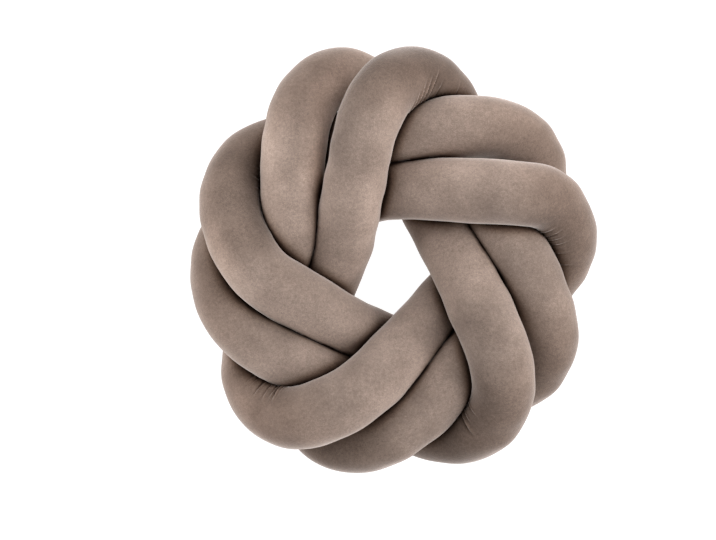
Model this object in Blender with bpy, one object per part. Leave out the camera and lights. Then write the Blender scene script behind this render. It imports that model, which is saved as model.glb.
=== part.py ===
"""Knot cushion: one filled velvet tube, closed on itself and knotted into a ring.

The tube crosses the top face ten times, in five pairs round an open middle. Each
pass comes up from below at the rim, curls over into a lobe, runs inward along the
top, dips beside the open middle and goes back out to the rim underneath. The
passes are numbered clockwise from the top left, and the tube meets them in the
order of the rows in PASSES. An even pass lies on the inner side of its pair and
climbs over the root of its odd neighbour.

Metres, +Z up. The origin is at the middle of the footprint, on the surface that
the cushion rests on. +Y is the longer way across the ring.
"""
from collections import namedtuple
import math

import bmesh
import bpy
import numpy as np

MM = 0.001

# Driving sizes
TUBE_WIDTH = 0.0605         # across the filled tube where nothing presses on it
PRESSED_PITCH = 0.0515      # between the centre lines of two strands that press together
REST_HEIGHT = 0.0270        # from the surface up to the centre line of a strand lying on it
CONTACT_GAP = 0.0022        # left open between two pressed faces
REST_CUT = 0.0026           # how far the lowest strands are pressed flat

# Uneven filling: how many swells round the whole tube, how strong, and where they start
SWELLS = ((7, 0.012, 0.4), (17, 0.010, 2.1), (31, 0.006, 4.4))

# Settling of the strands
NODE_PITCH = 0.0160         # between neighbouring points of the centre line while it settles
SETTLE_STEPS = 500
STIFFNESS = 0.06            # share of the bend that is smoothed out in one step
EVENING = 0.3               # share of the uneven spacing that is evened out in one step
PUSH = 0.25                 # share of an overlap that is cleared in one step
SINK = 0.00008              # how far a free strand sinks in one step
SAME_STRAND = 1.7           # in tube widths: points nearer than this along the tube never press

# Share of a strand's drift from its route that is taken back in one step, at each station
Hold = namedtuple("Hold", "rise flank crown shoulder bend run brink dip under")
HOLD = Hold(rise=0.06, flank=0.25, crown=0.25, shoulder=0.25, bend=0.25,
            run=0.25, brink=0.25, dip=0.15, under=0.02)

# Mesh
RINGS = 256                 # cross-sections round the whole tube
SIDES = 20                  # corners of each cross-section
BEND_CROWDING = 0.030       # metres: a bend of this radius gets twice the cross-sections
BEND_LIMIT = 0.82           # how far the inner side of a bend may reach towards its centre
FINE_PITCH = 0.0045         # between the points of the finished centre line
BLUR_POINTS = 9             # points over which the spacing of cross-sections changes
PRESS_REACH = 1.1           # in tube widths: strands farther apart than this never touch
BARELY = 0.05               # a direction that faces a neighbour or bend less than this is free of it

# Heights of the stations above the ring's middle plane before settling, millimetres
Heights = namedtuple("Heights", "rise flank crown shoulder bend run brink dip under")
EVEN_HEIGHTS = Heights(rise=-20, flank=-2, crown=12, shoulder=26, bend=38,
                       run=46, brink=38, dip=10, under=-30)
ODD_HEIGHTS = Heights(rise=-14, flank=0, crown=15, shoulder=24, bend=28,
                      run=28, brink=22, dip=8, under=-30)

# Stations of each pass, millimetres from the ring's middle: (right, up) as seen from above
Pass = namedtuple("Pass", "number rise flank crown shoulder bend run brink dip under")
PASSES = (
    Pass(2, rise=(50, 154), flank=(30, 170), crown=(12, 171), shoulder=(-8, 157), bend=(-21, 135),
         run=(-37, 73), brink=(-47, 25), dip=(-66, -22), under=(-78, -92)),
    Pass(7, rise=(-66, -167), flank=(-46, -173), crown=(-21, -172), shoulder=(-6, -165), bend=(8, -157),
         run=(24, -144), brink=(48, -119), dip=(65, -102), under=(113, -55)),
    Pass(4, rise=(158, -6), flank=(166, 19), crown=(160, 39), shoulder=(144, 56), bend=(121, 60),
         run=(70, 64), brink=(33, 66), dip=(-4, 68), under=(-84, 50)),
    Pass(9, rise=(-159, 17), flank=(-165, -9), crown=(-160, -37), shoulder=(-142, -63), bend=(-128, -75),
         run=(-111, -87), brink=(-90, -98), dip=(-65, -110), under=(-13, -139)),
    Pass(6, rise=(38, -165), flank=(69, -165), crown=(88, -155), shoulder=(100, -135), bend=(102, -109),
         run=(85, -54), brink=(70, -17), dip=(46, 36), under=(5, 105)),
    Pass(1, rise=(-39, 174), flank=(-60, 172), crown=(-82, 152), shoulder=(-91, 124), bend=(-95, 99),
         run=(-95, 50), brink=(-98, 20), dip=(-107, -3), under=(-123, -54)),
    Pass(8, rise=(-135, -103), flank=(-127, -129), crown=(-106, -147), shoulder=(-80, -146),
         bend=(-54, -137), run=(-25, -118), brink=(11, -85), dip=(42, -52), under=(98, 10)),
    Pass(3, rise=(137, 90), flank=(130, 105), crown=(108, 121), shoulder=(81, 125), bend=(62, 125),
         run=(43, 123), brink=(25, 119), dip=(9, 118), under=(-58, 113)),
    Pass(10, rise=(-124, 104), flank=(-148, 81), crown=(-154, 49), shoulder=(-144, 16), bend=(-125, -13),
         run=(-92, -37), brink=(-58, -58), dip=(-31, -76), under=(45, -104)),
    Pass(5, rise=(128, -114), flank=(142, -94), crown=(147, -73), shoulder=(141, -47), bend=(132, -24),
         run=(125, -7), brink=(118, 6), dip=(109, 20), under=(80, 88)),
)

VELVET_COLOUR = (0.330, 0.252, 0.208, 1.0)
VELVET_ROUGHNESS = 0.92


def clear_scene():
    for old in list(bpy.data.objects):
        bpy.data.objects.remove(old, do_unlink=True)


def next_of(values):
    """Each point's follower round the closed tube."""
    return np.roll(values, -1, axis=0)


def last_of(values):
    """Each point's forerunner round the closed tube."""
    return np.roll(values, 1, axis=0)


def lengths(vectors):
    return np.linalg.norm(vectors, axis=1, keepdims=True)


def spline_slopes(knots, spans):
    """Slopes at the knots of the smooth closed curve through them."""
    count = len(knots)
    system = np.zeros((count, count))
    target = np.zeros_like(knots)
    for here in range(count):
        back = here - 1
        ahead = (here + 1) % count
        system[here, back] += spans[here]
        system[here, here] += 2.0 * (spans[back] + spans[here])
        system[here, ahead] += spans[back]
        climb_in = (knots[here] - knots[back]) / spans[back]
        climb_out = (knots[ahead] - knots[here]) / spans[here]
        target[here] = 3.0 * (spans[here] * climb_in + spans[back] * climb_out)
    return np.linalg.solve(system, target)


def closed_curve(knots, distances):
    """Points of the smooth closed curve through the knots, at distances along its chords."""
    spans = lengths(next_of(knots) - knots)[:, 0]
    slopes = spline_slopes(knots, spans)
    starts = np.concatenate(([0.0], np.cumsum(spans)))
    places = np.mod(distances, starts[-1])
    index = np.clip(np.searchsorted(starts, places, side="right") - 1, 0, len(knots) - 1)
    span = spans[index][:, None]
    u = ((places - starts[index]) / spans[index])[:, None]
    follower = (index + 1) % len(knots)
    return (
        (2 * u**3 - 3 * u**2 + 1) * knots[index]
        + (u**3 - 2 * u**2 + u) * span * slopes[index]
        + (3 * u**2 - 2 * u**3) * knots[follower]
        + (u**3 - u**2) * span * slopes[follower]
    )


def chord_length(knots):
    return float(lengths(next_of(knots) - knots).sum())


def evenly_spaced(knots, count):
    return closed_curve(knots, np.arange(count) * chord_length(knots) / count)


def route_stations():
    """Every station of the ten passes in the tube's order, and how firmly it is held there."""
    stations = []
    hold = []
    for row in PASSES:
        heights = EVEN_HEIGHTS if row.number % 2 == 0 else ODD_HEIGHTS
        for column, height in zip(Heights._fields, heights):
            right, up = getattr(row, column)
            stations.append((right * MM, up * MM, height * MM))
            hold.append(getattr(HOLD, column))
    return np.array(stations), np.array(hold)


def facing_pairs(count, spacing):
    """Pairs of points far enough apart along the tube to belong to different strands."""
    skip = int(SAME_STRAND * TUBE_WIDTH / spacing)
    first, second = np.triu_indices(count, skip)
    apart = np.minimum(second - first, count - (second - first))
    return first[apart >= skip], second[apart >= skip]


def press_apart(points, first, second):
    """How far each point moves so that strands closer than the pressed pitch part a little."""
    between = points[first] - points[second]
    square = np.einsum("ij,ij->i", between, between)
    near = square < PRESSED_PITCH**2
    distance = np.sqrt(square[near])
    push = (PUSH * (PRESSED_PITCH - distance) / distance)[:, None] * between[near]
    move = np.zeros_like(points)
    presses = np.zeros(len(points))
    np.add.at(move, first[near], push)
    np.add.at(move, second[near], -push)
    np.add.at(presses, first[near], 1)
    np.add.at(presses, second[near], 1)
    return move / np.maximum(1.0, 0.5 * presses)[:, None]


def settled_centre_line():
    """The tube's centre line, with crossing strands lying on each other and on the surface."""
    stations, station_hold = route_stations()
    total = chord_length(stations)
    count = int(round(total / NODE_PITCH))
    route = evenly_spaced(stations, count)
    starts = np.concatenate(([0.0], np.cumsum(lengths(next_of(stations) - stations)[:, 0])))
    hold = np.interp(np.arange(count) * total / count, starts, np.append(station_hold, station_hold[0]))
    first, second = facing_pairs(count, total / count)
    points = route.copy()
    points[:, 2] += REST_HEIGHT - points[:, 2].min()
    for _ in range(SETTLE_STEPS):
        bend = next_of(points) - 2.0 * points + last_of(points)
        points -= STIFFNESS * (next_of(bend) - 2.0 * bend + last_of(bend))
        link = next_of(points) - points
        length = lengths(link)
        slack = EVENING * (length - length.mean()) * link / length
        points += slack - last_of(slack)
        points += press_apart(points, first, second)
        points[:, :2] += hold[:, None] * (route[:, :2] - points[:, :2])
        points[:, 2] -= SINK
        points[:, 2] = np.maximum(points[:, 2], REST_HEIGHT)
    return points


def bend_vectors(points, spacing):
    """For each point, a vector towards the centre of the bend, as long as one over its radius."""
    return (next_of(points) - 2.0 * points + last_of(points)) / spacing**2


def ring_places(points, spacing):
    """Where the cross-sections go along the fine centre line: closer together in bends."""
    sharpness = lengths(bend_vectors(points, spacing))[:, 0]
    window = np.hanning(BLUR_POINTS) / np.hanning(BLUR_POINTS).sum()
    margin = BLUR_POINTS // 2
    wrapped = np.concatenate((sharpness[-margin:], sharpness, sharpness[:margin]))
    crowding = 1.0 + BEND_CROWDING * np.convolve(wrapped, window, mode="valid")
    share = np.concatenate(([0.0], np.cumsum(crowding)))
    wanted = np.arange(RINGS) * share[-1] / RINGS
    return np.interp(wanted, share, np.arange(len(points) + 1) * spacing)


def swelling(places, total):
    """The tube's uneven girth, as a factor, at places along it."""
    girth = np.ones(len(places))
    for count, strength, start in SWELLS:
        girth += strength * np.sin(2.0 * math.pi * count * places / total + start)
    return girth


def room_beside(centre, place, outward, points, spacing):
    """How far the tube may reach in each outward direction before it meets another strand.

    Two strands that press on each other meet halfway, in the plane between their centre lines.
    """
    total = len(points) * spacing
    along = np.abs(np.arange(len(points)) * spacing - place)
    along = np.minimum(along, total - along)
    between = points - centre
    distance = np.linalg.norm(between, axis=1)
    near = (along > SAME_STRAND * TUBE_WIDTH) & (distance < PRESS_REACH * TUBE_WIDTH)
    if not near.any():
        return np.full(len(outward), np.inf)
    facing = outward @ (between[near] / distance[near][:, None]).T
    halfway = 0.5 * (distance[near] - CONTACT_GAP)
    reach = np.where(facing > BARELY, halfway / np.maximum(facing, BARELY), np.inf)
    return reach.min(axis=1)


def fold_reach(outward, bend):
    """How far the tube may reach towards the centre of its own bend without folding over."""
    inward = outward @ bend
    return np.where(inward > BARELY, BEND_LIMIT / np.maximum(inward, BARELY), np.inf)


def outward_directions(tangent):
    """Directions from the centre line to the corners of the cross-section across it."""
    side = np.cross(tangent, (0.0, 0.0, 1.0))
    side /= np.linalg.norm(side)
    over = np.cross(side, tangent)
    angles = 2.0 * math.pi * np.arange(SIDES) / SIDES
    return np.outer(np.cos(angles), side) + np.outer(np.sin(angles), over)


def tube_rings():
    """Corners of every cross-section, pressed flat against its neighbours and the surface below."""
    settled = settled_centre_line()
    fine = evenly_spaced(settled, int(round(chord_length(settled) / FINE_PITCH)))
    spacing = chord_length(fine) / len(fine)
    places = ring_places(fine, spacing)
    centres = closed_curve(fine, places)
    before = closed_curve(fine, places - spacing)
    after = closed_curve(fine, places + spacing)
    tangents = (after - before) / lengths(after - before)
    bends = (after - 2.0 * centres + before) / spacing**2
    radii = 0.5 * TUBE_WIDTH * swelling(places, len(fine) * spacing)
    rings = np.empty((RINGS, SIDES, 3))
    for index in range(RINGS):
        outward = outward_directions(tangents[index])
        room = room_beside(centres[index], places[index], outward, fine, spacing)
        reach = np.minimum(np.minimum(radii[index], room), fold_reach(outward, bends[index]))
        rings[index] = centres[index] + reach[:, None] * outward
    return rings


def stand_on_surface(rings):
    """Press the lowest strands flat on the surface, with the origin in the middle of the footprint."""
    rings[:, :, 2] -= rings[:, :, 2].min() + REST_CUT
    rings[:, :, 2] = np.maximum(rings[:, :, 2], 0.0)
    middle = 0.5 * (rings.min(axis=(0, 1)) + rings.max(axis=(0, 1)))
    rings[:, :, :2] -= middle[:2]
    return rings


def tube_object(name, rings, material):
    """One closed skin through the rings, joined end to end."""
    mesh = bpy.data.meshes.new(name)
    skin = bmesh.new()
    loops = [[skin.verts.new(corner) for corner in ring] for ring in rings]
    for here, ahead in zip(loops, loops[1:] + loops[:1]):
        for corner in range(SIDES):
            after = (corner + 1) % SIDES
            skin.faces.new((here[corner], here[after], ahead[after], ahead[corner]))
    bmesh.ops.triangulate(skin, faces=skin.faces[:])
    bmesh.ops.recalc_face_normals(skin, faces=skin.faces[:])
    skin.to_mesh(mesh)
    skin.free()
    mesh.shade_smooth()
    mesh.materials.append(material)
    tube = bpy.data.objects.new(name, mesh)
    bpy.context.scene.collection.objects.link(tube)
    return tube


def velvet():
    material = bpy.data.materials.new("velvet")
    material.use_nodes = True
    shader = material.node_tree.nodes["Principled BSDF"]
    shader.inputs["Base Color"].default_value = VELVET_COLOUR
    shader.inputs["Roughness"].default_value = VELVET_ROUGHNESS
    shader.inputs["Metallic"].default_value = 0.0
    return material


def main():
    clear_scene()
    tube_object("tube", stand_on_surface(tube_rings()), velvet())


main()
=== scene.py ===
"""The looks of the knot cushion: a fine velvet skin over the CAD tube, with its gathers.

The tube's route is the one that the CAD tube follows, but for the run of the second
pass, which lies a millimetre further right. The skin is pressed against its neighbours
in the same way as the solid, but at a much finer pitch, and gets what the plain solid
lacks: rounded press marks, gathers on the inner side of each bend, a slightly uneven
filling and a short-pile velvet.
"""

from collections import namedtuple
import math

import bpy
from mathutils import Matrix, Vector
import numpy as np


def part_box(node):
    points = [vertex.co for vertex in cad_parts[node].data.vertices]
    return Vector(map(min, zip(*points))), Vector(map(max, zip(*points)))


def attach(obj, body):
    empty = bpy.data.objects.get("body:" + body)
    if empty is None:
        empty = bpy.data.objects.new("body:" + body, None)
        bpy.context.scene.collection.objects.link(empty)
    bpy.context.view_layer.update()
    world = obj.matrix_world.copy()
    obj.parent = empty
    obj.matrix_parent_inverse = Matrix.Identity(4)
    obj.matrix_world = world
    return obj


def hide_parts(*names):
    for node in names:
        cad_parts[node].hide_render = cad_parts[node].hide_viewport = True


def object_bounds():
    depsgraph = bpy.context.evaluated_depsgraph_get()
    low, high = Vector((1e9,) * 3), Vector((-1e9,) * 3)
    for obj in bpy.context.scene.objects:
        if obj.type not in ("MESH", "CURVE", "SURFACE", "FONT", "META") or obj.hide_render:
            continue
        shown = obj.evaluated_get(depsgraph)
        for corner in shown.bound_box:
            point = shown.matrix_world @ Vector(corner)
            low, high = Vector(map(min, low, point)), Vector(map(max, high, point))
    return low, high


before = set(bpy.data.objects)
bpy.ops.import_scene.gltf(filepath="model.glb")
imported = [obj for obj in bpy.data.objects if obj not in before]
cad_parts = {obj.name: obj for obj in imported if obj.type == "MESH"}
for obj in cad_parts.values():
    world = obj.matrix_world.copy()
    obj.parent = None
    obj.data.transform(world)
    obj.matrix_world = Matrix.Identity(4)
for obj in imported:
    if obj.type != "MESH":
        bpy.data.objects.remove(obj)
cad_low, cad_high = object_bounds()

MM = 0.001

# ---------------------------------------------------------------- sizes of the tube
TUBE_WIDTH = 0.0605
PRESSED_PITCH = 0.0515      # between the centre lines of strands that lie on each other
REST_HEIGHT = 0.0270        # of the lowest centre line above the surface
CONTACT_GAP = -0.0003       # the skins are pressed together
REST_CUT = 0.0026           # how much of the lowest strands is pressed flat by the surface

# Slow swellings of the tube along its length: how many there are in all, how strong they
# are as a share of the girth, and where along their wave they start
Swell = namedtuple("Swell", "count strength start")
SWELLS = (
    Swell(7, strength=0.012, start=0.4),
    Swell(17, strength=0.010, start=2.1),
    Swell(31, strength=0.006, start=4.4),
)

# Settling of the strands, as in the CAD
NODE_PITCH = 0.0160         # between the points that are settled
SETTLE_STEPS = 500
STIFFNESS = 0.06            # how strongly the tube keeps from bending sharply
EVENING = 0.3               # how strongly its points keep at even distances
PUSH = 0.25                 # how far a strand gives way in a step, as a share of the overlap
SINK = 0.00008              # how far the tube sinks under its own weight in a step
SAME_STRAND = 1.7           # tube widths along the tube within which points aren't neighbours

# How firmly each station is held to its place in the picture
Hold = namedtuple("Hold", "rise flank crown shoulder bend run brink dip under")
HOLD = Hold(rise=0.06, flank=0.25, crown=0.25, shoulder=0.25, bend=0.25,
            run=0.25, brink=0.25, dip=0.15, under=0.02)

# Heights of the stations, millimetres. Each pair has a pass with an even number and one with an
# odd number.
Heights = namedtuple("Heights", "rise flank crown shoulder bend run brink dip under")
EVEN_HEIGHTS = Heights(rise=-20, flank=-2, crown=12, shoulder=26, bend=38,
                       run=46, brink=38, dip=10, under=-30)
ODD_HEIGHTS = Heights(rise=-14, flank=0, crown=15, shoulder=24, bend=28,
                      run=28, brink=22, dip=8, under=-30)

# Stations of each pass, millimetres from the ring's middle: (right, up) as seen from above
Pass = namedtuple("Pass", "number rise flank crown shoulder bend run brink dip under")
PASSES = (
    Pass(2, rise=(50, 154), flank=(30, 170), crown=(12, 171), shoulder=(-8, 157),
         bend=(-21, 135), run=(-36, 73), brink=(-47, 25), dip=(-66, -22), under=(-78, -92)),
    Pass(7, rise=(-66, -167), flank=(-46, -173), crown=(-21, -172), shoulder=(-6, -165),
         bend=(8, -157), run=(24, -144), brink=(48, -119), dip=(65, -102), under=(113, -55)),
    Pass(4, rise=(158, -6), flank=(166, 19), crown=(160, 39), shoulder=(144, 56),
         bend=(121, 60), run=(70, 64), brink=(33, 66), dip=(-4, 68), under=(-84, 50)),
    Pass(9, rise=(-159, 17), flank=(-165, -9), crown=(-160, -37), shoulder=(-142, -63),
         bend=(-128, -75), run=(-111, -87), brink=(-90, -98), dip=(-65, -110), under=(-13, -139)),
    Pass(6, rise=(38, -165), flank=(69, -165), crown=(88, -155), shoulder=(100, -135),
         bend=(102, -109), run=(85, -54), brink=(70, -17), dip=(46, 36), under=(5, 105)),
    Pass(1, rise=(-39, 174), flank=(-60, 172), crown=(-82, 152), shoulder=(-91, 124),
         bend=(-95, 99), run=(-95, 50), brink=(-98, 20), dip=(-107, -3), under=(-123, -54)),
    Pass(8, rise=(-135, -103), flank=(-127, -129), crown=(-106, -147), shoulder=(-80, -146),
         bend=(-54, -137), run=(-25, -118), brink=(11, -85), dip=(42, -52), under=(98, 10)),
    Pass(3, rise=(137, 90), flank=(130, 105), crown=(108, 121), shoulder=(81, 125),
         bend=(62, 125), run=(43, 123), brink=(25, 119), dip=(9, 118), under=(-58, 113)),
    Pass(10, rise=(-124, 104), flank=(-148, 81), crown=(-154, 49), shoulder=(-144, 16),
         bend=(-125, -13), run=(-92, -37), brink=(-58, -58), dip=(-31, -76), under=(45, -104)),
    Pass(5, rise=(128, -114), flank=(142, -94), crown=(147, -73), shoulder=(141, -47),
         bend=(132, -24), run=(125, -7), brink=(118, 6), dip=(109, 20), under=(80, 88)),
)

# ---------------------------------------------------------------- sizes of the skin
RINGS = 2220                # cross-sections round the whole tube
SIDES = 44                  # corners of each cross-section
BEND_CROWDING = 0.040       # metres: how strongly the cross-sections crowd into bends
GATHER_CROWDING = 4.5       # and into the gathers
BEND_LIMIT = 0.86           # how near the skin may come to the centre of its own bend, as a share
FINE_PITCH = 0.0045         # between the points of the centre line that the skin is built on
BLUR_POINTS = 9             # points of the centre line over which its sharpness is evened out
PRESS_REACH = 1.4           # tube widths within which another strand counts as a neighbour
BARELY = 0.05               # directions that face a neighbour less than this don't meet it
PRESS_ROUNDING = 36         # the higher, the sharper the rim of a press mark

# Where the cloth is gathered on the inner side of a bend. start and end are places along the
# pass, counted in stations from its rise. slant is how the gathers there run, as below.
Bunching = namedtuple("Bunching", "number start end slant")
BUNCHINGS = (
    Bunching(2, start=1.2, end=3.2, slant=-9),
    Bunching(4, start=0.6, end=3.2, slant=8),
    Bunching(6, start=2.0, end=3.3, slant=0),
    Bunching(8, start=0.9, end=2.8, slant=8),
    Bunching(10, start=1.0, end=2.0, slant=8),
)

# Gathers: folds of the cloth that run from the inner side of a bend up over the tube. at is the
# place along the pass, in stations from its rise. slant is how far it moves along the tube for
# each radian round it, in millimetres. reach is how far round it goes, degrees. width is half
# the width of the groove on the cloth, and depth its depth, in millimetres.
Gather = namedtuple("Gather", "number at slant reach width depth")
GATHERS = (
    Gather(2, at=0.60, slant=-4, reach=104, width=1.3, depth=1.8),
    Gather(2, at=1.15, slant=-6, reach=78, width=1.2, depth=0.9),
    Gather(2, at=1.62, slant=-9, reach=92, width=1.1, depth=1.6),
    Gather(2, at=2.16, slant=-15, reach=108, width=0.9, depth=2.8),
    Gather(2, at=2.40, slant=-17, reach=90, width=0.8, depth=2.6),
    Gather(2, at=2.64, slant=-20, reach=80, width=0.8, depth=2.4),
    Gather(2, at=2.90, slant=-20, reach=60, width=0.8, depth=2.2),
    Gather(2, at=3.20, slant=-16, reach=48, width=0.8, depth=1.8),
    Gather(4, at=0.80, slant=7, reach=92, width=1.1, depth=0.8),
    Gather(4, at=1.35, slant=8, reach=92, width=1.2, depth=1.0),
    Gather(4, at=1.90, slant=9, reach=84, width=1.1, depth=0.9),
    Gather(4, at=2.30, slant=9, reach=66, width=1.1, depth=0.9),
    Gather(4, at=2.68, slant=10, reach=62, width=1.1, depth=1.2),
    Gather(4, at=3.05, slant=10, reach=54, width=1.1, depth=0.9),
    Gather(6, at=2.36, slant=0, reach=94, width=1.4, depth=1.7),
    Gather(6, at=2.62, slant=0, reach=70, width=1.1, depth=0.9),
    Gather(6, at=3.12, slant=2, reach=64, width=1.1, depth=1.0),
    Gather(8, at=1.10, slant=5, reach=104, width=1.2, depth=1.4),
    Gather(8, at=1.28, slant=6, reach=94, width=1.0, depth=1.0),
    Gather(8, at=1.63, slant=8, reach=90, width=1.1, depth=1.5),
    Gather(8, at=2.02, slant=12, reach=76, width=1.0, depth=1.2),
    Gather(8, at=2.40, slant=7, reach=66, width=1.0, depth=1.4),
    Gather(8, at=2.61, slant=8, reach=72, width=1.1, depth=2.5),
    Gather(8, at=2.78, slant=8, reach=50, width=1.0, depth=1.0),
    Gather(10, at=1.20, slant=9, reach=70, width=1.1, depth=1.4),
    Gather(10, at=1.52, slant=9, reach=80, width=1.1, depth=1.5),
    Gather(10, at=1.78, slant=9, reach=84, width=1.1, depth=1.0),
)
GATHER_SEED = 11
GATHER_RIDGE = 0.70         # height of the ridge beside it, as a share of the groove's depth
RIDGE_PLACE = 1.9           # from the groove's middle to the ridge's, in half widths of the groove
RIDGE_WIDTH = 1.1           # half the width of the ridge, in the same
GATHER_FADE = 0.6           # the share of its reach from which on a gather fades out
GATHER_WANDER = 0.4         # how far a gather strays to either side, in half widths of the groove
GATHER_WAVES = 3.0          # how often it does so, radians of a wave for each radian of reach
GATHER_ANCHOR = 0.25 * math.pi      # the angle round from the inner side at which it has its place
SLANT_FADE = 0.045          # metres of tube over which a slant of the cross-sections comes and goes
SLANT_END = 0.55 * math.pi  # the angle round from the inner side from which on the slant is let go
CROWDING_FADE = 0.2 * SLANT_FADE    # the same for the crowding of cross-sections into gathers
SLACK_SIDE = 0.24           # the least share of its length that bunched cloth keeps inside a bend

# Soft lumps of the filling: how far the skin stands in or out, the size of a lump, the range
# of sizes as factors on it, and how many waves make them
LUMP_HEIGHT = 0.00055
LUMP_SIZE = 0.045
LUMP_SIZES = (0.6, 1.7)
LUMP_WAVES = 9
LUMP_SEED = 5
UNPRESSED = (0.84, 0.97)    # room beside a strand, in half widths of tube, where lumps come in

# Parts of a tube that are filled more tightly or more loosely, where a neighbour rests against
# it. at is as above, reach is how far along the tube it fades out, and more is its extra girth
# as a share.
Fullness = namedtuple("Fullness", "number at reach more")
FULLNESSES = (
    Fullness(1, at=3.3, reach=0.050, more=0.035),
    Fullness(1, at=4.8, reach=0.080, more=0.040),
    Fullness(2, at=5.0, reach=0.090, more=-0.070),
)

# Crevices, which the velvet's colour darkens as painted shade: how near another strand's surface
# is where the skin begins to count as in a crevice, for strands that pass at heights from low to
# high (a sine, as in crevice_depths), which come and go over fade, and how deep that crevice is,
# that is how dark its painted shade. The under rows paint the shadow of a strand passing above.
Crevice = namedtuple("Crevice", "kind touching reach low high fade depth")
CREVICES = (
    Crevice("under", touching=0.0, reach=0.018, low=0.42, high=2.0, fade=0.38, depth=1.0),
    Crevice("contact", touching=0.0006, reach=0.0048, low=-0.30, high=2.0, fade=0.20, depth=0.98),
    Crevice("beside", touching=0.0, reach=0.012, low=-0.25, high=2.0, fade=0.20, depth=0.45),
    Crevice("level", touching=0.0, reach=0.013, low=-0.25, high=0.45, fade=0.20, depth=0.0),
)
JUNCTION_DEPTH = 1.0        # painted shade where a level neighbour and a strand above meet
GATHER_PAINTED_SHADE = 0.96         # how far a deep gather counts as a crevice, for its painted shade
RIDGE_PAINTED_HIGHLIGHT = -0.45         # and its ridge as the opposite, a painted highlight
DEEP_GATHER = 0.0025        # metres: a gather of this depth gets its painted shade in full

# Painted light and shade along stretches of tube: each row lightens or darkens the velvet's
# colour. start and end are as above, and tone is a factor on the velvet's colour. A row with a side
# holds only for the side of the tube that faces that way, in degrees round the cushion from +X.
PaintedLight = namedtuple("PaintedLight", "number start end tone side", defaults=(None,))
PAINTED_LIGHTS = (
    PaintedLight(1, start=0.5, end=5.6, tone=1.22),
    PaintedLight(1, start=0.6, end=4.6, tone=2.10, side=0),
    PaintedLight(1, start=1.2, end=3.0, tone=0.95, side=180),
    PaintedLight(1, start=3.6, end=5.6, tone=1.32, side=180),
    PaintedLight(2, start=0.2, end=1.7, tone=0.86),
    PaintedLight(2, start=0.9, end=2.3, tone=0.87, side=-100),
    PaintedLight(2, start=1.2, end=4.6, tone=0.76, side=170),
    PaintedLight(2, start=1.9, end=3.0, tone=0.88),
    PaintedLight(2, start=2.6, end=6.6, tone=1.18, side=0),
    PaintedLight(2, start=5.2, end=7.0, tone=1.12),
    PaintedLight(3, start=1.2, end=5.6, tone=1.10),
    PaintedLight(3, start=0.6, end=4.4, tone=1.18, side=80),
    PaintedLight(4, start=2.8, end=6.6, tone=1.24, side=85),
    PaintedLight(4, start=2.4, end=4.6, tone=0.80, side=-110),
    PaintedLight(4, start=2.8, end=4.2, tone=1.06),
    PaintedLight(4, start=5.6, end=7.0, tone=1.08),
    PaintedLight(5, start=0.0, end=0.8, tone=0.80),
    PaintedLight(5, start=4.4, end=5.6, tone=0.85),
    PaintedLight(6, start=0.0, end=1.1, tone=0.80),
    PaintedLight(6, start=0.2, end=5.0, tone=0.86),
    PaintedLight(6, start=1.6, end=5.0, tone=1.18, side=-20),
    PaintedLight(6, start=1.6, end=5.0, tone=0.84, side=170),
    PaintedLight(6, start=6.0, end=7.4, tone=1.14),
    PaintedLight(7, start=0.2, end=5.4, tone=0.90),
    PaintedLight(8, start=0.0, end=2.6, tone=1.12),
    PaintedLight(8, start=0.4, end=4.2, tone=1.32, side=215),
    PaintedLight(8, start=4.0, end=7.0, tone=1.22, side=-50),
    PaintedLight(8, start=4.4, end=5.4, tone=0.90),
    PaintedLight(9, start=0.2, end=3.0, tone=1.10),
    PaintedLight(9, start=1.0, end=5.2, tone=1.26, side=-130),
    PaintedLight(9, start=1.4, end=5.4, tone=0.70, side=50),
    PaintedLight(10, start=0.9, end=2.4, tone=0.90),
    PaintedLight(10, start=0.4, end=3.8, tone=1.38, side=195),
    PaintedLight(10, start=1.0, end=3.4, tone=0.64, side=5),
    PaintedLight(10, start=3.2, end=6.4, tone=1.30, side=-135),
    PaintedLight(10, start=2.6, end=3.8, tone=0.94),
)
PAINTED_LIGHT_FADE = 0.030       # metres of tube over which one tone passes into the next
PAINTED_LIGHT_FACING = 0.75      # how squarely the skin faces a row's side where its tone is full

# Lit and shaded copies of the velvet, as painted shade: the deeper in a crevice a face lies, the
# less sheen it has
ShadedSheen = namedtuple("ShadedSheen", "name crevice sheen")
SHADED_SHEENS = (
    ShadedSheen("velvet", crevice=-1.0, sheen=0.78),
    ShadedSheen("velvet_painted_shade_1", crevice=0.40, sheen=0.58),
    ShadedSheen("velvet_painted_shade_2", crevice=0.58, sheen=0.38),
    ShadedSheen("velvet_painted_shade_3", crevice=0.74, sheen=0.18),
    ShadedSheen("velvet_painted_shade_4", crevice=0.88, sheen=0.0),
)

# ---------------------------------------------------------------- colours of the velvet
# Noises in the velvet: broad patches, and two sizes of nap. scale is in waves to a metre.
Noise = namedtuple("Noise", "scale detail roughness")
PATCH_NOISE = Noise(32.0, detail=4.0, roughness=0.55)
NAP_NOISE = Noise(330.0, detail=3.0, roughness=0.65)
PILE_NOISE = Noise(1100.0, detail=2.0, roughness=0.6)

# Colours along a value from nought to one. The velvet's own colour is that of its patches, and
# the others are factors on it.
Stop = namedtuple("Stop", "place red green blue")
PATCH_COLOURS = (
    Stop(0.32, 0.222, 0.167, 0.138),
    Stop(0.68, 0.294, 0.224, 0.187),
)
NAP_SHADES = (
    Stop(0.25, 0.79, 0.79, 0.79),
    Stop(0.75, 1.15, 1.15, 1.15),
)
PILE_SHADES = (
    Stop(0.25, 0.73, 0.73, 0.73),
    Stop(0.75, 1.20, 1.20, 1.20),
)
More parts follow.
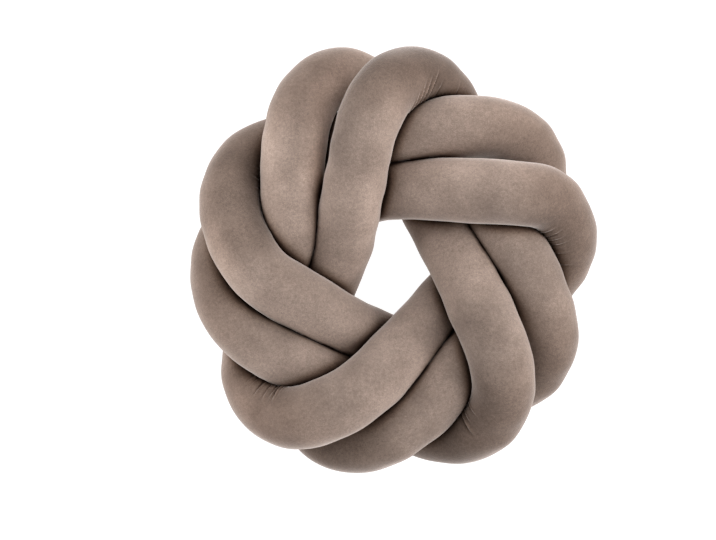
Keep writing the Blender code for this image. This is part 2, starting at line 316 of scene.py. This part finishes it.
# Painted shade: the velvet is darker where the tube climbs, standing in for the sheen of pile that
# lies along the tube
CLIMB_RANGE = (-0.5, 0.7)       # of the tube's climb, from falling to rising
CLIMB_PAINTED_SHADES = (
    Stop(0.0, 1.0, 1.0, 1.0),
    Stop(0.42, 0.96, 0.96, 0.96),
    Stop(0.62, 0.840, 0.826, 0.815),
    Stop(0.84, 0.670, 0.640, 0.620),
    Stop(1.0, 0.530, 0.490, 0.465),
)
# Painted shade: the velvet darkens towards the bottom of a crevice and in gather grooves, and a
# painted highlight lightens gather ridges
CREVICE_RANGE = (-0.3, 1.0)     # from the ridge of a gather to the bottom of a crevice
PAINTED_CREVICE_SHADES = (
    Stop(0.0, 1.70, 1.70, 1.70),
    Stop(0.23, 1.0, 1.0, 1.0),
    Stop(0.50, 0.88, 0.86, 0.84),
    Stop(0.73, 0.62, 0.57, 0.53),
    Stop(0.88, 0.34, 0.285, 0.25),
    Stop(1.0, 0.07, 0.05, 0.04),
)

Bump = namedtuple("Bump", "strength distance")
NAP_BUMP = Bump(0.30, distance=0.0008)
PILE_BUMP = Bump(0.45, distance=0.0004)
VELVET_ROUGHNESS = 0.88
VELVET_SPECULAR = 0.02
SHEEN_ROUGHNESS = 0.38
SHEEN_TINT = (0.95, 0.85, 0.80, 1.0)

# ---------------------------------------------------------------- floor, camera and light
FLOOR_REACH = 6.0
FLOOR_DROP = 0.0004         # below the cushion's flats, so that the two don't coincide
FLOOR_COLOUR = (0.20, 0.20, 0.20, 1.0)
FLOOR_ROUGHNESS = 0.85
FLOOR_SPECULAR = 0.1
FLOOR_GLOW = 1.0

PHOTO_WIDTH = 716
PHOTO_HEIGHT = 540
PIXEL_SIZE = 0.95 * MM      # at the level of the ring's middle plane
CUSHION_CENTRE = (393.5, 258.75)    # pixels from the picture's top left
CAMERA_DISTANCE = 2.2
CAMERA_REACH = 20.0
SENSOR = 36.0               # millimetres, as Blender has it

# Brightness of the studio by height, from nought at the horizon to one right overhead: bright low
# walls, a soft ring of light high up, and nothing round the camera, so that deep folds stay dark
Band = namedtuple("Band", "height level")
STUDIO = (
    Band(0.30, 1.6),
    Band(0.42, 0.12),
    Band(0.58, 0.12),
    Band(0.70, 1.25),
    Band(0.84, 1.25),
    Band(0.93, 0.10),
)

# Soft lights: around is degrees from the picture's right, anticlockwise, and above is degrees
# of height
Softbox = namedtuple("Softbox", "name around above size power")
SOFTBOXES = (
    Softbox("right", around=-3, above=34, size=1.2, power=31.0),
    Softbox("upper_right", around=60, above=40, size=1.2, power=8.5),
    Softbox("left", around=162, above=30, size=1.2, power=17.5),
)
SOFTBOX_DISTANCE = 2.0
SOFTBOX_TARGET = (0.0, 0.0, 0.05)


# ================================================================ the tube's route
def next_of(values):
    return np.roll(values, -1, axis=0)


def last_of(values):
    return np.roll(values, 1, axis=0)


def lengths(vectors):
    return np.linalg.norm(vectors, axis=1, keepdims=True)


def spline_slopes(knots, spans):
    """Slopes at the knots of the smooth closed curve through them."""
    count = len(knots)
    system = np.zeros((count, count))
    target = np.zeros_like(knots)
    for here in range(count):
        back = here - 1
        ahead = (here + 1) % count
        system[here, back] += spans[here]
        system[here, here] += 2.0 * (spans[back] + spans[here])
        system[here, ahead] += spans[back]
        climb_in = (knots[here] - knots[back]) / spans[back]
        climb_out = (knots[ahead] - knots[here]) / spans[here]
        target[here] = 3.0 * (spans[here] * climb_in + spans[back] * climb_out)
    return np.linalg.solve(system, target)


def closed_curve(knots, distances):
    """Points of the smooth closed curve through the knots, at distances along its chords."""
    spans = lengths(next_of(knots) - knots)[:, 0]
    slopes = spline_slopes(knots, spans)
    starts = np.concatenate(([0.0], np.cumsum(spans)))
    places = np.mod(distances, starts[-1])
    index = np.clip(np.searchsorted(starts, places, side="right") - 1, 0, len(knots) - 1)
    span = spans[index][:, None]
    u = ((places - starts[index]) / spans[index])[:, None]
    follower = (index + 1) % len(knots)
    return (
        (2 * u**3 - 3 * u**2 + 1) * knots[index]
        + (u**3 - 2 * u**2 + u) * span * slopes[index]
        + (3 * u**2 - 2 * u**3) * knots[follower]
        + (u**3 - u**2) * span * slopes[follower]
    )


def chord_length(knots):
    return float(lengths(next_of(knots) - knots).sum())


def evenly_spaced(knots, count):
    return closed_curve(knots, np.arange(count) * chord_length(knots) / count)


def route_stations():
    """Every station of the ten passes in the tube's order, and how firmly it is held there."""
    stations = []
    hold = []
    for row in PASSES:
        heights = EVEN_HEIGHTS if row.number % 2 == 0 else ODD_HEIGHTS
        for column, height in zip(Heights._fields, heights):
            right, up = getattr(row, column)
            stations.append((right * MM, up * MM, height * MM))
            hold.append(getattr(HOLD, column))
    return np.array(stations), np.array(hold)


def facing_pairs(count, spacing):
    """Pairs of points far enough apart along the tube to belong to different strands."""
    skip = int(SAME_STRAND * TUBE_WIDTH / spacing)
    first, second = np.triu_indices(count, skip)
    apart = np.minimum(second - first, count - (second - first))
    return first[apart >= skip], second[apart >= skip]


def press_apart(points, first, second):
    """How far each point moves so that strands closer than the pressed pitch part a little."""
    between = points[first] - points[second]
    square = np.einsum("ij,ij->i", between, between)
    near = square < PRESSED_PITCH**2
    distance = np.sqrt(square[near])
    push = (PUSH * (PRESSED_PITCH - distance) / distance)[:, None] * between[near]
    move = np.zeros_like(points)
    presses = np.zeros(len(points))
    np.add.at(move, first[near], push)
    np.add.at(move, second[near], -push)
    np.add.at(presses, first[near], 1)
    np.add.at(presses, second[near], 1)
    return move / np.maximum(1.0, 0.5 * presses)[:, None]


def settled_centre_line():
    """The tube's centre line, with crossing strands lying on each other and on the surface."""
    stations, station_hold = route_stations()
    total = chord_length(stations)
    count = int(round(total / NODE_PITCH))
    route = evenly_spaced(stations, count)
    starts = np.concatenate(([0.0], np.cumsum(lengths(next_of(stations) - stations)[:, 0])))
    places = np.arange(count) * total / count
    hold = np.interp(places, starts, np.append(station_hold, station_hold[0]))
    first, second = facing_pairs(count, total / count)
    points = route.copy()
    points[:, 2] += REST_HEIGHT - points[:, 2].min()
    for _ in range(SETTLE_STEPS):
        bend = next_of(points) - 2.0 * points + last_of(points)
        points -= STIFFNESS * (next_of(bend) - 2.0 * bend + last_of(bend))
        link = next_of(points) - points
        length = lengths(link)
        slack = EVENING * (length - length.mean()) * link / length
        points += slack - last_of(slack)
        points += press_apart(points, first, second)
        points[:, :2] += hold[:, None] * (route[:, :2] - points[:, :2])
        points[:, 2] -= SINK
        points[:, 2] = np.maximum(points[:, 2], REST_HEIGHT)
    return points


# ================================================================ the skin
def bend_vectors(points, spacing):
    """For each point, a vector towards the centre of the bend, as long as one over its radius."""
    return (next_of(points) - 2.0 * points + last_of(points)) / spacing**2


def ring_places(points, spacing, zones):
    """Where the cross-sections go along the fine centre line: closer in bends and gathers."""
    sharpness = lengths(bend_vectors(points, spacing))[:, 0]
    window = np.hanning(BLUR_POINTS) / np.hanning(BLUR_POINTS).sum()
    margin = BLUR_POINTS // 2
    wrapped = np.concatenate((sharpness[-margin:], sharpness, sharpness[:margin]))
    crowding = 1.0 + BEND_CROWDING * np.convolve(wrapped, window, mode="valid")
    here = np.arange(len(points)) * spacing
    total = len(points) * spacing
    for _, first, last in zones:
        crowding += GATHER_CROWDING * zone_window(here, first, last, CROWDING_FADE, total)
    share = np.concatenate(([0.0], np.cumsum(crowding)))
    wanted = np.arange(RINGS) * share[-1] / RINGS
    return np.interp(wanted, share, np.arange(len(points) + 1) * spacing)


def swelling(places, total):
    """The tube's uneven girth, as a factor, at places along it."""
    girth = np.ones(len(places))
    for row in SWELLS:
        girth += row.strength * np.sin(2.0 * math.pi * row.count * places / total + row.start)
    for row in FULLNESSES:
        middle = station_places(row.number, (row.at,), total)[0]
        girth += row.more * zone_window(places, middle, middle, row.reach, total)
    return girth


def room_beside(centres, place, outward, points, spacing):
    """How far the tube may reach in each outward direction before it meets another strand."""
    total = len(points) * spacing
    along = np.abs(np.arange(len(points)) * spacing - place)
    along = np.minimum(along, total - along)
    away = np.linalg.norm(points - centres.mean(axis=0), axis=1)
    near = (along > SAME_STRAND * TUBE_WIDTH) & (away < PRESS_REACH * TUBE_WIDTH)
    if not near.any():
        return np.full(len(outward), np.inf)
    between = points[near][None, :, :] - centres[:, None, :]
    distance = np.linalg.norm(between, axis=2)
    facing = np.einsum("ik,ijk->ij", outward, between) / distance
    halfway = 0.5 * (distance - CONTACT_GAP)
    reach = np.where(facing > BARELY, halfway / np.maximum(facing, BARELY), np.inf)
    return reach.min(axis=1)


def rounded_least(*limits):
    """The least of several reaches, with a rounded changeover from one to the next."""
    total = sum(np.power(limit, -float(PRESS_ROUNDING)) for limit in limits)
    return np.power(total, -1.0 / PRESS_ROUNDING)


def fold_reach(inward):
    """How far the tube may reach towards the centre of its own bend without folding over."""
    return np.where(inward > BARELY, BEND_LIMIT / np.maximum(inward, BARELY), np.inf)


def outward_directions(tangents):
    """Directions from the centre line to the corners, for a grid of cross-sections and corners."""
    upright = np.broadcast_to((0.0, 0.0, 1.0), tangents.shape)
    side = np.cross(tangents, upright)
    side /= np.linalg.norm(side, axis=-1, keepdims=True)
    over = np.cross(side, tangents)
    angles = corner_angles()[None, :, None]
    return np.cos(angles) * side + np.sin(angles) * over


def corner_angles():
    return 2.0 * math.pi * np.arange(SIDES) / SIDES


def smooth_step(low, high, values):
    share = np.clip((values - low) / (high - low), 0.0, 1.0)
    return share * share * (3.0 - 2.0 * share)


def zone_window(places, first, last, fade, total):
    """One between two places along the tube, nought far from them, with soft ends."""
    middle = 0.5 * (first + last)
    away = np.abs((places - middle + 0.5 * total) % total - 0.5 * total)
    return 1.0 - smooth_step(0.0, fade, away - 0.5 * (last - first))


def station_places(number, stations, total):
    """Places along the tube of stations of one pass, counted from its rise, in metres."""
    knots, _ = route_stations()
    starts = np.concatenate(([0.0], np.cumsum(lengths(next_of(knots) - knots)[:, 0])))
    base = [row.number for row in PASSES].index(number) * len(Heights._fields)
    return np.interp(base + np.array(stations), np.arange(len(starts)), starts) * total / starts[-1]


def bunched_zones(total):
    """Each row of the bunchings with the places along the tube where it begins and ends."""
    return [(row, *station_places(row.number, (row.start, row.end), total)) for row in BUNCHINGS]


def slanted(places, zones, total):
    """Places of the cross-sections' corners, shifted so that edges run as the gathers do."""
    round_from_inside = np.abs(math.pi - corner_angles())
    fan = round_from_inside * (1.0 - smooth_step(SLANT_END, math.pi, round_from_inside))
    slant = sum(
        row.slant * MM * zone_window(places, first, last, SLANT_FADE, total)
        for row, first, last in zones
    )
    return places[:, None] + slant[:, None] * fan[None, :]


def gather_depths(corner_places, inner_angle, looseness, total):
    """How deep the gathers draw each corner in, and their painted shade and highlight, as crevice
    depths.

    A gather is a narrow groove with a low ridge along it. It runs from the inner side of
    a bend up over the tube, where it fades out.
    """
    chance = np.random.RandomState(GATHER_SEED)
    depth = np.zeros_like(inner_angle)
    painted_shading = np.zeros_like(inner_angle)
    for row in GATHERS:
        width = row.width * MM
        reach = math.radians(row.reach)
        middle = station_places(row.number, (row.at,), total)[0]
        phase = chance.uniform(0.0, 2.0 * math.pi)
        wander = GATHER_WANDER * width * np.sin(GATHER_WAVES * inner_angle + phase)
        path = middle + row.slant * MM * (inner_angle - GATHER_ANCHOR) + wander
        away = (corner_places - path + 0.5 * total) % total - 0.5 * total
        away *= np.maximum(looseness, SLACK_SIDE)
        groove = np.exp(-(away / width)**2)
        beside = away - RIDGE_PLACE * width
        ridge = GATHER_RIDGE * np.exp(-(beside / (RIDGE_WIDTH * width))**2)
        strength = row.depth * MM * (1.0 - smooth_step(GATHER_FADE * reach, reach, inner_angle))
        depth += strength * (groove - ridge)
        drawn_in = np.minimum(1.0, strength / DEEP_GATHER)
        # painted shade in the groove and painted highlight on the ridge
        painted_shading += (GATHER_PAINTED_SHADE * groove + RIDGE_PAINTED_HIGHLIGHT * ridge / GATHER_RIDGE) * drawn_in
    return depth, painted_shading


def crevice_depths(rings, centres, places, points, spacing):
    """How far down in a crevice each corner lies, from nought to one, for its painted shade.

    A strand that passes near makes a crevice by how high it passes: a sine from minus one,
    right below, to one, right above.
    """
    total = len(points) * spacing
    open_share = np.ones(rings.shape[:2])
    for index in range(len(rings)):
        along = np.abs(np.arange(len(points)) * spacing - places[index])
        along = np.minimum(along, total - along)
        from_centre = points - centres[index].mean(axis=0)
        away = np.linalg.norm(from_centre, axis=1)
        near = (along > SAME_STRAND * TUBE_WIDTH) & (away < PRESS_REACH * TUBE_WIDTH)
        if not near.any():
            continue
        height = from_centre[near, 2] / away[near]
        gap = np.linalg.norm(points[near][None, :, :] - rings[index][:, None, :], axis=2)
        gap -= 0.5 * TUBE_WIDTH
        closest = {}
        for row in CREVICES:
            above_low = smooth_step(row.low - row.fade, row.low + row.fade, height)
            above_high = smooth_step(row.high - row.fade, row.high + row.fade, height)
            closeness = 1.0 - smooth_step(row.touching, row.reach, gap)
            closeness *= above_low[None, :]
            closeness *= 1.0 - above_high[None, :]
            closest[row.kind] = closeness.max(axis=1)
            open_share[index] *= 1.0 - row.depth * closest[row.kind]
        open_share[index] *= 1.0 - JUNCTION_DEPTH * closest["under"] * closest["level"]
    return 1.0 - open_share


def painted_light_tones(corner_places, outward, total):
    """The painted light and shade at each corner, as a factor on the velvet's colour."""
    tones = np.ones_like(corner_places)
    for row in PAINTED_LIGHTS:
        first, last = station_places(row.number, (row.start, row.end), total)
        share = zone_window(corner_places, first, last, PAINTED_LIGHT_FADE, total)
        if row.side is not None:
            side = math.radians(row.side)
            facing = math.cos(side) * outward[:, :, 0] + math.sin(side) * outward[:, :, 1]
            share = share * smooth_step(0.0, PAINTED_LIGHT_FACING, facing)
        tones *= 1.0 + (row.tone - 1.0) * share
    return tones


def lumps(points):
    """Low soft lumps of the filling at each point: a sum of long slanting waves."""
    chance = np.random.RandomState(LUMP_SEED)
    height = np.zeros(points.shape[:-1])
    for _ in range(LUMP_WAVES):
        direction = chance.normal(size=3)
        direction /= np.linalg.norm(direction)
        length = LUMP_SIZE * chance.uniform(*LUMP_SIZES)
        phase = chance.uniform(0.0, 2.0 * math.pi)
        height += np.sin(points @ direction * 2.0 * math.pi / length + phase)
    return LUMP_HEIGHT * height / math.sqrt(LUMP_WAVES)


def skin_rings():
    """The skin's corners, a cross-section a row, with what the velvet has to know at each.

    That is how steeply the tube climbs there, how far down in a crevice it lies, and the
    painted light and shade of its stretch.
    """
    settled = settled_centre_line()
    fine = evenly_spaced(settled, int(round(chord_length(settled) / FINE_PITCH)))
    spacing = chord_length(fine) / len(fine)
    total = len(fine) * spacing
    zones = bunched_zones(total)
    places = ring_places(fine, spacing, zones)
    grid = (RINGS, SIDES)
    corner_places = slanted(places, zones, total)
    centres = closed_curve(fine, corner_places.reshape(-1))
    before = closed_curve(fine, corner_places.reshape(-1) - spacing)
    after = closed_curve(fine, corner_places.reshape(-1) + spacing)
    tangents = ((after - before) / lengths(after - before)).reshape(*grid, 3)
    bends = ((after - 2.0 * centres + before) / spacing**2).reshape(*grid, 3)
    centres = centres.reshape(*grid, 3)
    radii = 0.5 * TUBE_WIDTH * swelling(corner_places.reshape(-1), total).reshape(grid)
    outward = outward_directions(tangents)
    inward = np.einsum("ijk,ijk->ij", outward, bends)
    room = np.array([
        room_beside(centres[index], places[index], outward[index], fine, spacing)
        for index in range(RINGS)
    ])
    reach = rounded_least(radii, room, fold_reach(inward))
    sharpness = np.maximum(np.linalg.norm(bends, axis=2), 1.0)
    inner_angle = np.arccos(np.clip(inward / sharpness, -1.0, 1.0))
    looseness = 1.0 - np.clip(inward * radii, 0.0, BEND_LIMIT)
    gathers, gather_painted_shading = gather_depths(corner_places, inner_angle, looseness, total)
    unpressed = smooth_step(*UNPRESSED, room / radii)
    reach -= gathers
    rings = centres + reach[:, :, None] * outward
    rings += (lumps(rings) * unpressed)[:, :, None] * outward
    # Painted shade: how far down in a crevice each corner lies, with the gathers' painted shade and
    # highlight
    crevices = crevice_depths(rings, centres, places, fine, spacing)
    crevices = crevices + (1.0 - crevices) * gather_painted_shading
    # painted light and shade along stretches of tube
    tones = painted_light_tones(corner_places, outward, total)
    return rings, {"climb": tangents[:, :, 2], "crevice": crevices, "tone": tones}


def stand_on_surface(rings):
    """Press the lowest strands flat on the surface, the skin's middle where the CAD tube's is."""
    rings[:, :, 2] -= rings[:, :, 2].min() + REST_CUT
    rings[:, :, 2] = np.maximum(rings[:, :, 2], 0.0)
    middle = 0.5 * (rings.min(axis=(0, 1)) + rings.max(axis=(0, 1)))
    low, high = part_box("tube")
    rings[:, :, 0] += 0.5 * (low[0] + high[0]) - middle[0]
    rings[:, :, 1] += 0.5 * (low[1] + high[1]) - middle[1]
    return rings


def skin_object(name, rings, layers):
    """One closed skin through the rings, joined end to end, with values at its corners."""
    ring_count, side_count, _ = rings.shape
    here = np.arange(ring_count)[:, None] * side_count
    ahead = (np.arange(ring_count)[:, None] + 1) % ring_count * side_count
    side = np.arange(side_count)[None, :]
    after = (side + 1) % side_count
    faces = np.stack((here + side, ahead + side, ahead + after, here + after), axis=-1)
    faces = faces.reshape(-1, 4)
    mesh = bpy.data.meshes.new(name)
    mesh.from_pydata(rings.reshape(-1, 3).tolist(), [], faces.tolist())
    mesh.update()
    mesh.shade_smooth()
    for row in SHADED_SHEENS:
        mesh.materials.append(velvet_material(row.name, row.sheen))
    # Painted shade: faces deeper in a crevice take the shaded copies of the velvet, with less sheen
    depths = layers["crevice"].reshape(-1)[faces].mean(axis=1)
    kinds = np.searchsorted([row.crevice for row in SHADED_SHEENS], depths, side="right") - 1
    mesh.polygons.foreach_set("material_index", kinds.astype(np.int32))
    for layer_name, values in layers.items():
        layer = mesh.attributes.new(layer_name, "FLOAT", "POINT")
        layer.data.foreach_set("value", values.reshape(-1).astype(np.float32))
    skin = bpy.data.objects.new(name, mesh)
    bpy.context.scene.collection.objects.link(skin)
    return skin


# ================================================================ materials
class Nodes:
    """Short ways to add and join a material's nodes."""

    def __init__(self, name):
        self.material = bpy.data.materials.new(name)
        self.material.use_nodes = True
        self.tree = self.material.node_tree
        self.shader = self.tree.nodes["Principled BSDF"]

    def add(self, kind, **values):
        node = self.tree.nodes.new(kind)
        for key, value in values.items():
            setattr(node, key, value)
        return node

    def link(self, source, target):
        self.tree.links.new(source, target)

    def noise(self, coordinates, kind):
        node = self.add("ShaderNodeTexNoise")
        node.inputs["Scale"].default_value = kind.scale
        node.inputs["Detail"].default_value = kind.detail
        node.inputs["Roughness"].default_value = kind.roughness
        self.link(coordinates, node.inputs["Vector"])
        return node.outputs["Fac"]

    def spread(self, value, low, high):
        node = self.add("ShaderNodeMapRange")
        node.inputs["From Min"].default_value = low
        node.inputs["From Max"].default_value = high
        self.link(value, node.inputs["Value"])
        return node.outputs["Result"]

    def ramp(self, factor, stops):
        node = self.add("ShaderNodeValToRGB")
        band = node.color_ramp
        while len(band.elements) < len(stops):
            band.elements.new(0.5)
        for element, stop in zip(band.elements, stops):
            element.position = stop.place
            element.color = (stop.red, stop.green, stop.blue, 1.0)
        self.link(factor, node.inputs["Fac"])
        return node.outputs["Color"]

    def product(self, first, second):
        node = self.add("ShaderNodeMix", data_type="RGBA", blend_type="MULTIPLY")
        node.inputs["Factor"].default_value = 1.0
        self.link(first, node.inputs["A"])
        self.link(second, node.inputs["B"])
        return node.outputs["Result"]

    def layer(self, name):
        node = self.add("ShaderNodeAttribute", attribute_type="GEOMETRY", attribute_name=name)
        return node.outputs["Fac"]

    def bump(self, height, kind, normal=None):
        node = self.add("ShaderNodeBump")
        node.inputs["Strength"].default_value = kind.strength
        node.inputs["Distance"].default_value = kind.distance
        self.link(height, node.inputs["Height"])
        if normal is not None:
            self.link(normal, node.inputs["Normal"])
        return node.outputs["Normal"]


def grey(level):
    return (level, level, level, 1.0)


def velvet_material(name, sheen):
    """Short-pile velvet, pile along the tube; painted shade darkens it where the tube climbs."""
    nodes = Nodes(name)
    place = nodes.add("ShaderNodeTexCoord").outputs["Object"]
    patches = nodes.noise(place, PATCH_NOISE)
    nap = nodes.noise(place, NAP_NOISE)
    pile = nodes.noise(place, PILE_NOISE)
    climb = nodes.spread(nodes.layer("climb"), *CLIMB_RANGE)
    crevice = nodes.spread(nodes.layer("crevice"), *CREVICE_RANGE)
    colour = nodes.ramp(patches, PATCH_COLOURS)
    # painted light and shade along stretches of tube
    colour = nodes.product(colour, nodes.layer("tone"))
    # painted shade where the tube climbs
    colour = nodes.product(colour, nodes.ramp(climb, CLIMB_PAINTED_SHADES))
    # painted shade in crevices and gather grooves, painted highlight on gather ridges
    colour = nodes.product(colour, nodes.ramp(crevice, PAINTED_CREVICE_SHADES))
    colour = nodes.product(colour, nodes.ramp(nap, NAP_SHADES))
    colour = nodes.product(colour, nodes.ramp(pile, PILE_SHADES))
    nodes.link(colour, nodes.shader.inputs["Base Color"])
    normal = nodes.bump(nap, NAP_BUMP)
    normal = nodes.bump(pile, PILE_BUMP, normal)
    nodes.link(normal, nodes.shader.inputs["Normal"])
    nodes.shader.inputs["Roughness"].default_value = VELVET_ROUGHNESS
    nodes.shader.inputs["Specular IOR Level"].default_value = VELVET_SPECULAR
    nodes.shader.inputs["Sheen Weight"].default_value = sheen
    nodes.shader.inputs["Sheen Roughness"].default_value = SHEEN_ROUGHNESS
    nodes.shader.inputs["Sheen Tint"].default_value = SHEEN_TINT
    return nodes.material


def floor_material():
    """A white light table, which stays bright under and inside the cushion."""
    nodes = Nodes("floor")
    nodes.shader.inputs["Base Color"].default_value = FLOOR_COLOUR
    nodes.shader.inputs["Roughness"].default_value = FLOOR_ROUGHNESS
    nodes.shader.inputs["Specular IOR Level"].default_value = FLOOR_SPECULAR
    nodes.shader.inputs["Emission Color"].default_value = grey(1.0)
    nodes.shader.inputs["Emission Strength"].default_value = FLOOR_GLOW
    return nodes.material


# ================================================================ the stage
def add_floor():
    mesh = bpy.data.meshes.new("floor")
    sides = ((-1, -1), (1, -1), (1, 1), (-1, 1))
    corners = [(FLOOR_REACH * x, FLOOR_REACH * y, 0.0) for x, y in sides]
    mesh.from_pydata(corners, [], [(0, 1, 2, 3)])
    mesh.materials.append(floor_material())
    floor = bpy.data.objects.new("floor", mesh)
    floor.location.z = -FLOOR_DROP
    bpy.context.scene.collection.objects.link(floor)


def add_softbox(row):
    around = math.radians(row.around)
    above = math.radians(row.above)
    place = Vector((math.cos(around), math.sin(around), 0.0))
    place *= SOFTBOX_DISTANCE * math.cos(above)
    place.z = SOFTBOX_DISTANCE * math.sin(above)
    light = bpy.data.lights.new(row.name, "AREA")
    light.shape = "DISK"
    light.size = row.size
    light.energy = row.power
    lamp = bpy.data.objects.new(row.name, light)
    lamp.location = place
    lamp.rotation_euler = (Vector(SOFTBOX_TARGET) - place).to_track_quat("-Z", "Y").to_euler()
    bpy.context.scene.collection.objects.link(lamp)


def add_studio():
    """White surroundings: bright low walls all round and a ring of light above."""
    world = bpy.data.worlds.new("studio")
    bpy.context.scene.world = world
    world.use_nodes = True
    tree = world.node_tree
    background = tree.nodes["Background"]
    direction = tree.nodes.new("ShaderNodeTexCoord").outputs["Generated"]
    parts = tree.nodes.new("ShaderNodeSeparateXYZ")
    tree.links.new(direction, parts.inputs["Vector"])
    ramp = tree.nodes.new("ShaderNodeValToRGB")
    tree.links.new(parts.outputs["Z"], ramp.inputs["Fac"])
    while len(ramp.color_ramp.elements) < len(STUDIO):
        ramp.color_ramp.elements.new(0.5)
    for element, band in zip(ramp.color_ramp.elements, STUDIO):
        element.position = band.height
        element.color = grey(band.level)
    tree.links.new(ramp.outputs["Color"], background.inputs["Color"])
    background.inputs["Strength"].default_value = 1.0


def add_camera():
    """Straight above the cushion, with the ring's middle where the picture has it."""
    middle_height = 0.5 * (cad_low[2] + cad_high[2])
    camera = bpy.data.cameras.new("camera")
    camera.sensor_width = SENSOR
    camera.lens = SENSOR * CAMERA_DISTANCE / (PHOTO_WIDTH * PIXEL_SIZE)
    camera.clip_end = CAMERA_REACH
    holder = bpy.data.objects.new("camera", camera)
    right = (0.5 * PHOTO_WIDTH - CUSHION_CENTRE[0]) * PIXEL_SIZE
    up = (CUSHION_CENTRE[1] - 0.5 * PHOTO_HEIGHT) * PIXEL_SIZE
    holder.location = (right, up, middle_height + CAMERA_DISTANCE)
    bpy.context.scene.collection.objects.link(holder)
    bpy.context.scene.camera = holder


# ================================================================ the scene
bpy.context.scene.view_settings.view_transform = "Standard"
add_camera()
add_studio()
for softbox in SOFTBOXES:
    add_softbox(softbox)
add_floor()

corners, layers = skin_rings()
cushion = skin_object("velvet_tube", stand_on_surface(corners), layers)
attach(cushion, "root")
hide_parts("tube")
